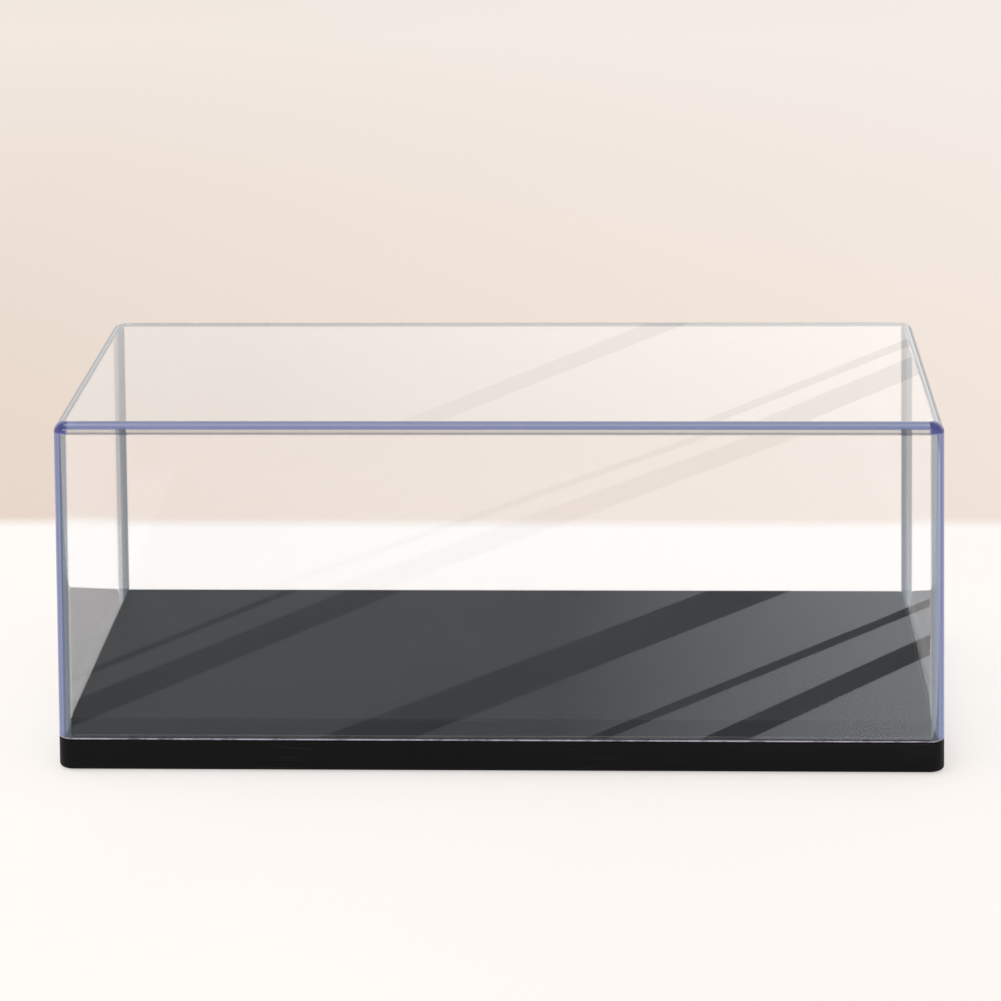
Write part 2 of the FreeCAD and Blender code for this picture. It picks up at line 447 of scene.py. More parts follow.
class SharedEffect:
    """A shader node group that several finishes use, built once."""

    made: dict[str, bpy.types.NodeTree] = {}
    name = "effect"
    knobs: tuple[str, ...] = ()
    gives: tuple[str, ...] = ()

    def wire(self, wiring: Wiring, knobs: dict[str, Socket]) -> dict[str, Socket]:
        """Build the group's nodes.

        Args:
            wiring: Tools for the group's own tree.
            knobs: The group's inputs by name.

        Returns:
            The outputs by name.
        """
        raise NotImplementedError

    def tree(self) -> bpy.types.NodeTree:
        """Give the group's tree, building it at the first call.

        Returns:
            The shared node tree.
        """
        if self.name in SharedEffect.made:
            return SharedEffect.made[self.name]
        tree = bpy.data.node_groups.new(self.name, "ShaderNodeTree")
        for names, way in ((self.knobs, "INPUT"), (self.gives, "OUTPUT")):
            for name in names:
                tree.interface.new_socket(name, in_out=way, socket_type="NodeSocketFloat")
        wiring = Wiring(tree)
        start = wiring.add("NodeGroupInput")
        end = wiring.add("NodeGroupOutput")
        results = self.wire(wiring, {knob: start.outputs[knob] for knob in self.knobs})
        for result, socket in results.items():
            wiring.feed(end.inputs[result], socket)
        SharedEffect.made[self.name] = tree
        return tree

    def place(self, wiring: Wiring, **values: float) -> dict[str, Socket]:
        """Put the effect into a material with its own values.

        Args:
            wiring: Tools for the material's tree.
            **values: Knob values.

        Returns:
            The effect's outputs by name.
        """
        node = wiring.add("ShaderNodeGroup", node_tree=self.tree())
        for knob, value in values.items():
            node.inputs[knob].default_value = value
        return {result: node.outputs[result] for result in self.gives}


class MouldedGrain(SharedEffect):
    """The fine spark-eroded grain and slow flow waves of a moulding."""

    name = "moulded_grain"
    knobs = ("Cells", "Waves", "Depth")
    gives = ("Height", "Shade")

    def wire(self, wiring: Wiring, knobs: dict[str, Socket]) -> dict[str, Socket]:
        """Mix fine grain with slow waves.

        Args:
            wiring: Tools for the group's own tree.
            knobs: The group's inputs by name.

        Returns:
            Height for a bump and Shade for a colour change.
        """
        place = wiring.place()
        fine = wiring.noise(place, knobs["Cells"], 3.0, 0.6)
        slow = wiring.noise(place, knobs["Waves"], 2.0)
        grain = wiring.sum("MULTIPLY", fine, knobs["Depth"])
        height = wiring.sum("MULTIPLY_ADD", slow, 0.6, grain)
        return {"Height": height, "Shade": wiring.spread(slow, 0.3, 0.7)}


class SettledDust(SharedEffect):
    """Loose specks of dust, few and uneven."""

    name = "settled_dust"
    knobs = ("Cells", "Size", "Amount")
    gives = ("Mask",)

    def wire(self, wiring: Wiring, knobs: dict[str, Socket]) -> dict[str, Socket]:
        """Keep the small hearts of a few scattered cells.

        Args:
            wiring: Tools for the group's own tree.
            knobs: The group's inputs by name.

        Returns:
            Mask, 1 on a speck.
        """
        place = wiring.place()
        cells = wiring.add("ShaderNodeTexVoronoi", feature="F1")
        wiring.feed(cells.inputs["Vector"], place)
        wiring.feed(cells.inputs["Scale"], knobs["Cells"])
        pick = wiring.add("ShaderNodeSeparateColor")
        wiring.feed(pick.inputs[0], cells.outputs["Color"])
        chosen = wiring.sum("LESS_THAN", pick.outputs[0], knobs["Amount"])
        reach = wiring.sum("MULTIPLY", knobs["Size"], pick.outputs[1])
        near = wiring.sum("LESS_THAN", cells.outputs["Distance"], reach)
        return {"Mask": wiring.sum("MULTIPLY", near, chosen)}


class HairScratches(SharedEffect):
    """Short hairline scratches from handling and wiping."""

    name = "hair_scratches"
    knobs = ("Cells", "Amount")
    gives = ("Mask",)

    def wire(self, wiring: Wiring, knobs: dict[str, Socket]) -> dict[str, Socket]:
        """Take thin level lines of stretched noise, broken into short runs.

        Args:
            wiring: Tools for the group's own tree.
            knobs: The group's inputs by name.

        Returns:
            Mask, 1 in a scratch.
        """
        place = wiring.place()
        lines = []
        for turn, squeeze in ((28.0, 0.06), (-47.0, 0.08), (81.0, 0.05)):
            space = wiring.stretch(place, (squeeze, 1.0, 1.0), turn)
            value = wiring.noise(space, knobs["Cells"], 1.0)
            level = wiring.sum("ABSOLUTE", wiring.sum("SUBTRACT", value, 0.5))
            lines.append(wiring.spread(level, 0.0, 0.0025, 1.0, 0.0))
        hairs = wiring.sum("MAXIMUM", lines[0], wiring.sum("MAXIMUM", lines[1], lines[2]))
        runs = wiring.noise(place, 45.0, 2.0)
        kept = wiring.spread(runs, 0.58, 0.66)
        share = wiring.sum("MULTIPLY", kept, knobs["Amount"])
        return {"Mask": wiring.sum("MULTIPLY", hairs, share)}


GRAIN = MouldedGrain()
DUST = SettledDust()
SCRATCHES = HairScratches()


def blank_material(name: str) -> tuple[bpy.types.Material, Wiring, bpy.types.Node]:
    """Make a material that has nothing but its output.

    Args:
        name: Name of the material.

    Returns:
        The material, its wiring and its output node.
    """
    material = bpy.data.materials.new(name)
    material.use_nodes = True
    material.node_tree.nodes.clear()
    wiring = Wiring(material.node_tree)
    return material, wiring, wiring.add("ShaderNodeOutputMaterial")


class Finish:
    """A named surface finish that makes one material."""

    name = "finish"

    def start(self) -> tuple[bpy.types.Material, Wiring, bpy.types.Node, bpy.types.Node]:
        """Make a material with one Principled shader.

        Returns:
            The material, its wiring, its Principled shader and its output node.
        """
        material, wiring, output = blank_material(self.name)
        shader = wiring.add("ShaderNodeBsdfPrincipled")
        wiring.feed(output.inputs["Surface"], shader.outputs["BSDF"])
        return material, wiring, shader, output

    @staticmethod
    def bump(wiring: Wiring, shader: bpy.types.Node, height: Socket, depth: float) -> None:
        """Raise a height into the shader's normal.

        Args:
            wiring: Tools for the material's tree.
            shader: The Principled shader.
            height: The height socket.
            depth: Real depth in metres of a height of 1.
        """
        node = wiring.add("ShaderNodeBump")
        node.inputs["Strength"].default_value = 1.0
        node.inputs["Distance"].default_value = depth
        wiring.feed(node.inputs["Height"], height)
        wiring.feed(shader.inputs["Normal"], node.outputs["Normal"])


@dataclass(frozen=True)
class SatinBlack(Finish):
    """Satin black moulded plastic with a little dust and a few hair scratches."""

    name: str = "satin_black_plastic"
    deep: Colour = (0.0036, 0.0037, 0.0045, 1.0)
    worn: Colour = (0.0052, 0.0054, 0.0065, 1.0)
    scuff: Colour = (0.05, 0.05, 0.053, 1.0)
    dust: Colour = (0.42, 0.41, 0.40, 1.0)
    dust_rough: float = 0.9
    rough_low: float = 0.40
    rough_high: float = 0.48
    index: float = 1.5
    gloss: float = 0.08
    depth: float = 0.0003 * MM

    def make(self) -> bpy.types.Material:
        """Build the material.

        Returns:
            The finished material.
        """
        material, wiring, shader, _ = self.start()
        grain = GRAIN.place(wiring, Cells=4200.0, Waves=18.0, Depth=1.0)
        specks = DUST.place(wiring, Cells=95.0, Size=0.028, Amount=0.30)["Mask"]
        hairs = SCRATCHES.place(wiring, Cells=70.0, Amount=0.28)["Mask"]
        plastic = wiring.blend(grain["Shade"], self.deep, self.worn)
        scuffed = wiring.blend(hairs, plastic, self.scuff)
        wiring.feed(shader.inputs["Base Color"], wiring.blend(specks, scuffed, self.dust))
        rough = wiring.spread(grain["Shade"], 0.0, 1.0, self.rough_low, self.rough_high)
        dusty = wiring.sum("MAXIMUM", rough, wiring.sum("MULTIPLY", specks, self.dust_rough))
        wiring.feed(shader.inputs["Roughness"], dusty)
        raised = wiring.sum("SUBTRACT", grain["Height"], hairs)
        self.bump(wiring, shader, raised, self.depth)
        shader.inputs["IOR"].default_value = self.index
        shader.inputs["Specular IOR Level"].default_value = self.gloss
        return material


@dataclass(frozen=True)
class MattRubber(Finish):
    """Matt black rubber with a fine cast skin."""

    name: str = "matt_rubber"
    deep: Colour = (0.018, 0.018, 0.019, 1.0)
    worn: Colour = (0.036, 0.036, 0.037, 1.0)
    dust: Colour = (0.35, 0.34, 0.32, 1.0)
    rough_low: float = 0.75
    rough_high: float = 0.92
    depth: float = 0.02 * MM

    def make(self) -> bpy.types.Material:
        """Build the material.

        Returns:
            The finished material.
        """
        material, wiring, shader, _ = self.start()
        grain = GRAIN.place(wiring, Cells=3800.0, Waves=160.0, Depth=1.4)
        specks = DUST.place(wiring, Cells=900.0, Size=0.16, Amount=0.35)["Mask"]
        rubber = wiring.blend(grain["Shade"], self.deep, self.worn)
        wiring.feed(shader.inputs["Base Color"], wiring.blend(specks, rubber, self.dust))
        rough = wiring.spread(grain["Shade"], 0.0, 1.0, self.rough_low, self.rough_high)
        wiring.feed(shader.inputs["Roughness"], rough)
        self.bump(wiring, shader, grain["Height"], self.depth)
        return material


@dataclass(frozen=True)
class ClearStyrene(Finish):
    """Clear polished plastic with a blue-violet body tint; its edges carry painted shade and a
    painted glow.
    """

    name: str = "clear_styrene"
    # Painted edge shade: darker glass along the edge mark, fed to Base Color.
    grey_edge_shade: Colour = (0.030, 0.038, 0.048, 1.0)
    violet_edge_shade: Colour = (0.018, 0.022, 0.055, 1.0)
    navy_edge_shade: Colour = (0.004, 0.004, 0.020, 1.0)
    # Painted edge glow: light given off along the edge mark, fed to Emission.
    grey_edge_glow: Colour = (0.055, 0.066, 0.082, 1.0)
    violet_edge_glow: Colour = (0.150, 0.172, 0.315, 1.0)
    navy_edge_glow: Colour = (0.030, 0.035, 0.160, 1.0)
    soaked: Colour = (0.64, 0.68, 0.83, 1.0)
    density: float = 30.0
    shade: Colour = (0.965, 0.968, 0.975, 1.0)
    index: float = 1.57
    scratch_rough: float = 0.10
    dust_rough: float = 0.55
    depth: float = 0.002 * MM

    @staticmethod
    def tint(wiring: Wiring, edge: Socket, start: Colour, *stops: Colour) -> Socket:
        """Run through colours as the edge mark grows from clear to navy, for the painted edge
        shade and the painted edge glow.

        Args:
            wiring: Tools for the material's tree.
            edge: The edge mark.
            start: Colour where there is no mark.
            *stops: Colours at grey, violet and navy.

        Returns:
            The colour.
        """
        colour = start
        for low, high, stop in zip((CLEAR, GREY, VIOLET), (GREY, VIOLET, NAVY), stops):
            colour = wiring.blend(wiring.spread(edge, low, high), colour, stop)
        return colour

    def make(self) -> bpy.types.Material:
        """Build the material.

        Returns:
            The finished material.
        """
        material, wiring, shader, output = self.start()
        edge = wiring.add("ShaderNodeAttribute", attribute_name=EDGE_MARK).outputs["Fac"]
        # Painted edge shade: the glass darkens to grey, violet and navy along the edge mark.
        painted_shade = (self.grey_edge_shade, self.violet_edge_shade, self.navy_edge_shade)
        wiring.feed(shader.inputs["Base Color"], self.tint(wiring, edge, WHITE, *painted_shade))
        # Painted edge glow: the edges give off grey, violet and navy light along the edge mark.
        painted_glow = (self.grey_edge_glow, self.violet_edge_glow, self.navy_edge_glow)
        wiring.feed(shader.inputs["Emission Color"], self.tint(wiring, edge, BLACK, *painted_glow))
        shader.inputs["Emission Strength"].default_value = 1.0
        shader.inputs["Transmission Weight"].default_value = 1.0
        shader.inputs["IOR"].default_value = self.index
        grain = GRAIN.place(wiring, Cells=36.0, Waves=9.0, Depth=0.3)
        hairs = SCRATCHES.place(wiring, Cells=90.0, Amount=0.35)["Mask"]
        specks = DUST.place(wiring, Cells=70.0, Size=0.02, Amount=0.16)["Mask"]
        scratched = wiring.sum("MULTIPLY", hairs, self.scratch_rough)
        dusty = wiring.sum("MULTIPLY", specks, self.dust_rough)
        wiring.feed(shader.inputs["Roughness"], wiring.sum("MAXIMUM", scratched, dusty))
        self.bump(wiring, shader, grain["Height"], self.depth)
        clear = wiring.add("ShaderNodeBsdfTransparent")
        clear.inputs["Color"].default_value = self.shade
        path = wiring.add("ShaderNodeLightPath").outputs
        soft = wiring.sum("MAXIMUM", path["Is Shadow Ray"], path["Is Diffuse Ray"])
        surface = wiring.mix(soft, shader.outputs["BSDF"], clear.outputs["BSDF"])
        wiring.feed(output.inputs["Surface"], surface)
        soak = wiring.add("ShaderNodeVolumeAbsorption")
        soak.inputs["Color"].default_value = self.soaked
        soak.inputs["Density"].default_value = self.density
        wiring.feed(output.inputs["Volume"], soak.outputs["Volume"])
        return material


@dataclass(frozen=True)
class LipHighlight(Finish):
    """Painted highlight on the bevel round the cover's foot: an opaque strip with broken bright
    patches that stand in for the light it catches.
    """

    name: str = "lip_painted_highlight"
    bright: Colour = (0.46, 0.45, 0.56, 1.0)
    dull: Colour = (0.14, 0.14, 0.18, 1.0)
    index: float = 1.49

    def make(self) -> bpy.types.Material:
        """Build the material.

        Returns:
            The finished material.
        """
        material, wiring, shader, _ = self.start()
        place = wiring.place()
        breaks = wiring.noise(place, 260.0, 4.0, 0.7)
        share = wiring.spread(breaks, 0.36, 0.56)
        # Painted highlight: bright broken patches on a dim strip stand in for light caught by the
        # lip.
        wiring.feed(shader.inputs["Base Color"], wiring.blend(share, self.dull, self.bright))
        wiring.feed(shader.inputs["Roughness"], wiring.spread(breaks, 0.3, 0.7, 0.25, 0.6))
        shader.inputs["IOR"].default_value = self.index
        return material


# ---------------- the case


@dataclass
class Piece:
    """Shared steps for every piece of the case."""

    made: list[bpy.types.Object] = field(default_factory=list, init=False)

    def settle(self, piece: bpy.types.Object, body: Body, slot: Slot, *nodes: str) -> None:
        """Fix a piece to its body, hide the nodes that it stands for and keep it among the made
        pieces.

        Args:
            piece: The finished object.
            body: The body it moves with.
            slot: The finish it takes; not used.
            *nodes: The nodes that it replaces.
        """
        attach(piece, body.value)
        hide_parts(*nodes)
        self.made.append(piece)


@dataclass
class CoverShell(Piece):
    """The clear lift-off cover: one thin moulding with a polished crown.

    Args:
        wall: Thickness of the sides and the top.
        draft: Lean of the sides.
        corner: Radius of the upright edges at the foot.
        crown: Rounding between the sides and the top.
        lip: Bevel round the foot.
        highlight_strip: Height of the strip above the foot that takes the painted lip highlight.
        corner_steps: Segments in an upright edge.
        crown_steps: Segments in the crown.
        front_heart: Share of a front edge's rounding that gets violet painted shade and glow.
        back_shoulder: Share of a back edge's rounding that gets grey painted shade and glow.
    """

    # How far up the front of the crown, as a share, each level of painted edge shade and glow
    # reaches.
    FRONT_CROWN = ((0.15, GREY), (0.35, 0.2), (0.45, 1.25), (1.0, VIOLET))

    wall: float = 1.8 * MM
    draft: float = math.radians(1.4)
    corner: float = 4.19 * MM
    crown: float = 3.2 * MM
    lip: float = 0.25 * MM
    highlight_strip: float = 0.50 * MM
    corner_steps: int = 12
    crown_steps: int = 10
    front_heart: float = 0.6
    back_shoulder: float = 0.8

    @property
    def foot_ring(self) -> int:
        """Which ring is the outer edge of the foot."""
        return self.crown_steps + 3

    def crown_rings(self, outline: Outline, foot: float, top: float, round_: float) -> list[Ring]:
        """Give the rings of a crown, from the leaning side up to the flat top.

        Args:
            outline: The side's outline at the foot.
            foot: Z of the foot.
            top: Z of the flat top.
            round_: Radius of the rounding.

        Returns:
            The rings, lowest first.
        """
        centre = top - round_
        lean = math.tan(self.draft) * (centre - foot)
        rings = []
        for step in range(self.crown_steps + 1):
            angle = self.draft + (RIGHT_ANGLE - self.draft) * step / self.crown_steps
            inset = round_ / math.cos(self.draft) - round_ * math.cos(angle)
            rings.append(outline.ring(centre + round_ * math.sin(angle), inset, lean))
        return rings

    def rings(self, low: Vector, high: Vector) -> list[Ring]:
        """Give every ring of the cover, from its ceiling round the foot to its top.

        Args:
            low: Lowest corner of the cover's box.
            high: Highest corner of the cover's box.

        Returns:
            The rings in order.
        """
        outer = Outline((high.x - low.x) / 2, (high.y - low.y) / 2, self.corner)
        lean = math.tan(self.draft)
        inner = Outline(
            outer.half_x - self.wall, outer.half_y - self.wall, self.corner - self.wall
        )
        ceiling = self.crown_rings(inner, low.z, high.z - self.wall, self.crown - self.wall)
        roof = self.crown_rings(outer, low.z, high.z, self.crown)
        inside = [inner.ring(low.z + self.lip, self.lip * lean), inner.ring(low.z, -self.lip)]
        outside = [
            outer.ring(low.z, self.lip),
            outer.ring(low.z + self.lip, self.lip * lean),
            outer.ring(low.z + self.highlight_strip, self.highlight_strip * lean),
        ]
        return list(reversed(ceiling)) + inside + outside + roof

    def corner_mark(self, corner: int, step: int) -> float:
        """Tell how much painted edge shade and glow one place in an upright edge gets.

        Args:
            corner: Which upright edge, anticlockwise from the front right.
            step: Place along its rounding.

        Returns:
            The mark: grey on the shoulders, violet in the front edges' hearts.
        """
        from_side = step if corner in (1, 3) else self.corner_steps - step
        if not 0 < from_side < self.corner_steps:
            return CLEAR
        if corner in FRONT_CORNERS:
            return VIOLET if from_side <= self.corner_steps * self.front_heart else GREY
        return GREY if from_side <= self.corner_steps * self.back_shoulder else CLEAR

    def crown_mark(self, corner: int, step: int, level: int) -> float:
        """Tell how much painted edge shade and glow one place in the crown gets.

        Args:
            corner: Which upright edge the place is nearest to.
            step: Place along that edge's rounding.
            level: Ring of the crown, counted from the side.

        Returns:
            The mark: violet above the front, navy in its two corners, grey elsewhere.
        """
        if not 0 < level < self.crown_steps:
            return CLEAR
        if (corner, step) in ((0, 0), (3, self.corner_steps)):
            share = level / self.crown_steps
            return next(mark for limit, mark in self.FRONT_CROWN if share <= limit)
        if corner in FRONT_CORNERS and 0 < step < self.corner_steps:
            return NAVY
        return GREY

    def mark_edges(self, piece: bpy.types.Object) -> None:
        """Mark the painted edge shade and glow at every point of the cover.

        Args:
            piece: The finished cover.
        """
        # Painted edge shade and glow, one value per point.
        marks = piece.data.attributes.new(EDGE_MARK, "FLOAT", "POINT")
        corner_points = self.corner_steps + 1
        side_start = self.foot_ring + 1
        crown_start = self.foot_ring + 3
        for place, mark in enumerate(marks.data):
            ring, point = divmod(place, 4 * corner_points)
            corner, step = divmod(point, corner_points)
            inside = self.crown_steps <= ring < side_start
            if ring > crown_start:
                mark.value = self.crown_mark(corner, step, ring - crown_start)
            elif ring >= side_start or (inside and corner in BACK_CORNERS):
                mark.value = self.corner_mark(corner, step)

    def build(self, clear: bpy.types.Material, lip_highlight: bpy.types.Material) -> None:
        """Build the cover.

        Args:
            clear: Finish of the polished plastic.
            lip_highlight: Painted highlight on the strip round the foot.
        """
        low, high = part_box("cover")
        mesh = bmesh.new()
        strips = loft(mesh, self.rings(low, high), self.corner_steps)
        # The strips round the foot take the painted lip highlight.
        for strip in strips[self.foot_ring : self.foot_ring + 2]:
            for face in strip:
                face.material_index = 1
        cover = shape("cover_shell", mesh, (clear, lip_highlight))
        self.mark_edges(cover)
        self.settle(cover, Body.COVER, Slot.CLEAR, "cover")


@dataclass
class BaseTray(Piece):
    """The black base moulding: rim, ledge, raised deck, and ribs underneath.

    Args:
        wall: Thickness of the moulding.
        draft: Lean of the rim.
        corner: Radius of the rim's upright edges at the foot.
        seam: Height of the ledge above the base's lowest edge.
        seam_break: Bevel where the rim meets the ledge.
        foot_round: Rounding round the foot.
        deck_gap: From the ledge's edge to the foot of the deck.
        deck_lean: Lean of the deck's side.
        deck_corner: Radius of the deck's upright edges at its foot.
        deck_round: Rounding round the deck's top.
        rib: Thickness of a rib.
        rib_edge: Bevel on a rib.
        rib_lift: How far the ribs stop above the foot.
        cross_ribs: Ribs along the depth.
        long_ribs: Ribs along the length.
        boss_wall: Wall of the tubes that carry the foot pads.
        boss_edge: Bevel round a tube's foot.
        boss_steps: Segments round a tube.
        web_edge: Bevel on the cross inside a tube.
        web_lift: How much shorter the cross is than its tube.
        hollow_corner: Radius of the hollow's upright edges.
        hollow_round: Bevel round the hollow's ceiling.
        corner_steps: Segments in an upright edge.
        round_steps: Segments in a rounding.
    """

    wall: float = 2.0 * MM
    draft: float = math.radians(1.4)
    corner: float = 4.4 * MM
    seam: float = 8.6 * MM
    seam_break: float = 0.25 * MM
    foot_round: float = 0.9 * MM
    deck_gap: float = 2.8 * MM
    deck_lean: float = math.radians(5.0)
    deck_corner: float = 1.6 * MM
    deck_round: float = 0.7 * MM
    rib: float = 1.2 * MM
    rib_edge: float = 0.15 * MM
    rib_lift: float = 1.5 * MM
    cross_ribs: int = 10
    long_ribs: int = 4
    boss_wall: float = 1.5 * MM
    boss_edge: float = 0.2 * MM
    boss_steps: int = 40
    web_edge: float = 0.1 * MM
    web_lift: float = 0.4 * MM
    hollow_corner: float = 0.8 * MM
    hollow_round: float = 0.3 * MM
    corner_steps: int = 8
    round_steps: int = 5

    def rounding(
        self, outline: Outline, edge: float, inset: float, round_: float, up: bool
    ) -> list[Ring]:
        """Give the rings of a quarter rounding between a flat and a side.

        Args:
            outline: The outline that insets count from.
            edge: Z of the flat.
            inset: Inset of the side where the rounding meets it.
            round_: Radius of the rounding.
            up: Whether the flat is the upper end.

        Returns:
            The rings from the side to the flat.
        """
        way = 1.0 if up else -1.0
        rings = []
        for step in range(self.round_steps + 1):
            angle = RIGHT_ANGLE * step / self.round_steps
            height = edge - way * round_ * (1.0 - math.sin(angle))
            rings.append(outline.ring(height, inset + round_ * (1.0 - math.cos(angle))))
        return rings

    def shell(self, mesh: bmesh.types.BMesh, low: Vector, high: Vector) -> None:
        """Add the skin of the moulding.

        Args:
            mesh: The mesh to add to.
            low: Lowest corner of the base's box.
            high: Highest corner of the base's box.
        """
        outer = Outline((high.x - low.x) / 2, (high.y - low.y) / 2, self.corner)
        lean = math.tan(self.draft)
        ledge = low.z + self.seam
        seam_inset = self.seam * lean
        foot = self.rounding(outer, low.z, self.foot_round * lean, self.foot_round, up=False)
        rim = [
            outer.ring(ledge - self.seam_break, seam_inset),
            outer.ring(ledge, seam_inset + self.seam_break),
        ]
        deck_foot = seam_inset + self.deck_gap
        deck = Outline(outer.half_x - deck_foot, outer.half_y - deck_foot, self.deck_corner)
        rise = high.z - ledge
        deck_side = (rise - self.deck_round) * math.tan(self.deck_lean)
        top = self.rounding(deck, high.z, deck_side, self.deck_round, up=True)
        ceiling = high.z - self.wall
        hollow = Outline(deck.half_x - self.wall, deck.half_y - self.wall, self.hollow_corner)
        rim_ceiling = ledge - self.wall
        under = [
            hollow.ring(ceiling, self.hollow_round),
            hollow.ring(ceiling - self.hollow_round, 0.0),
            hollow.ring(rim_ceiling, 0.0),
            outer.ring(rim_ceiling, self.wall + (self.seam - self.wall) * lean),
            outer.ring(low.z, self.wall),
        ]
        rings = under + list(reversed(foot)) + rim + [deck.ring(ledge, 0.0)] + top
        loft(mesh, rings, self.corner_steps)

    def ribs(self, mesh: bmesh.types.BMesh, low: Vector, high: Vector) -> None:
        """Add the crossing ribs below the deck.

        Args:
            mesh: The mesh to add to.
            low: Lowest corner of the base's box.
            high: Highest corner of the base's box.
        """
        length, depth = high.x - low.x, high.y - low.y
        bottom = low.z + self.rib_lift
        levels = (
            (low.z + self.seam - self.wall / 2, self.wall * 0.6),
            (high.z - self.wall / 2, self.wall * 2 + self.deck_gap - 0.5 * MM),
        )
        for top, inset in levels:
            middle, tall = (top + bottom) / 2, top - bottom
            for rib in range(self.cross_ribs):
                place = low.x + length * (rib + 1) / (self.cross_ribs + 1)
                size = Vector((self.rib, depth - 2 * inset, tall))
                block(mesh, Vector((place, 0.0, middle)), size, self.rib_edge)
            for rib in range(self.long_ribs):
                place = low.y + depth * (rib + 1) / (self.long_ribs + 1)
                size = Vector((length - 2 * inset, self.rib, tall))
                block(mesh, Vector((0.0, place, middle)), size, self.rib_edge)

    def bosses(self, mesh: bmesh.types.BMesh, high: Vector) -> None:
        """Add the tube with a cross inside that carries each foot pad.

        Args:
            mesh: The mesh to add to.
            high: Highest corner of the base's box.
        """
        top = high.z - self.wall / 2
        for corner in FootPad.CORNERS:
            pad_low, pad_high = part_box(corner)
            centre = (pad_low + pad_high) / 2
            centre.z = pad_high.z
            radius = (pad_high.x - pad_low.x) / 2
            core = radius - self.boss_wall
            tall = top - centre.z
            profile = (
                (0.0, tall),
                (radius, tall),
                (radius, self.boss_edge),
                (radius - self.boss_edge, 0.0),
                (core, 0.0),
                (core, tall - self.wall / 2),
                (0.0, tall - self.wall / 2),
            )
            lathe(mesh, centre, profile, self.boss_steps)
            for size in ((2 * core, self.rib), (self.rib, 2 * core)):
                web = Vector((*size, tall - self.web_lift))
                middle = centre + Vector((0.0, 0.0, tall / 2))
                block(mesh, middle, web, self.web_edge)

    def build(self, plastic: bpy.types.Material) -> None:
        """Build the base.

        Args:
            plastic: Finish of the moulding.
        """
        low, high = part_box("base")
        mesh = bmesh.new()
        self.shell(mesh, low, high)
        self.ribs(mesh, low, high)
        self.bosses(mesh, high)
        base = shape("base_tray", mesh, (plastic,))
        self.settle(base, Body.BASE, Slot.BASE, "base")


@dataclass
class FootPad(Piece):
    """One soft disc under a corner of the base.

    Args:
        node: The node that it stands for.
        sole_round: Rounding round the sole.
        dish: How deep the sole is dished.
        dish_flat: Share of the sole that is at the dish's full depth.
        dish_edge: Share of the sole where the dish ends.
        top_break: Bevel round the top.
        steps: Segments round the disc.
        round_steps: Segments in the rounding.
    """

    CORNERS = (
        "foot_pad_front_left",
        "foot_pad_front_right",
        "foot_pad_back_left",
        "foot_pad_back_right",
    )

    node: str = CORNERS[0]
    sole_round: float = 0.3 * MM
    dish: float = 0.12 * MM
    dish_flat: float = 0.7
    dish_edge: float = 0.8
    top_break: float = 0.15 * MM
    steps: int = 56
    round_steps: int = 5

    def build(self, rubber: bpy.types.Material) -> None:
        """Build the pad.

        Args:
            rubber: Finish of the pad.
        """
        low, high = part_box(self.node)
        centre = (low + high) / 2
        centre.z = low.z
        radius, tall = (high.x - low.x) / 2, high.z - low.z
        rim = radius - self.sole_round
        profile = [(0.0, self.dish), (rim * self.dish_flat, self.dish)]
        profile += [(rim * self.dish_edge, 0.0), (rim, 0.0)]
        for step in range(1, self.round_steps + 1):
            angle = RIGHT_ANGLE * step / self.round_steps
            across = rim + self.sole_round * math.sin(angle)
            profile.append((across, self.sole_round * (1.0 - math.cos(angle))))
        top = self.top_break
        profile += [(radius, tall - top), (radius - top, tall), (0.0, tall)]
        mesh = bmesh.new()
        lathe(mesh, centre, profile, self.steps)
        pad = shape(self.node + "_disc", mesh, (rubber,))
        self.settle(pad, Body.BASE, Slot.PAD, self.node)


# ---------------- the studio


@dataclass(frozen=True)
class Streak:
    """One darker band across a glare card.

    Args:
        centre: Middle of the band along the card's length, at its near edge.
        width: Width of the band.
        lean: How far the band shifts along the length for each metre of depth.
    """

    centre: float
    width: float
    lean: float


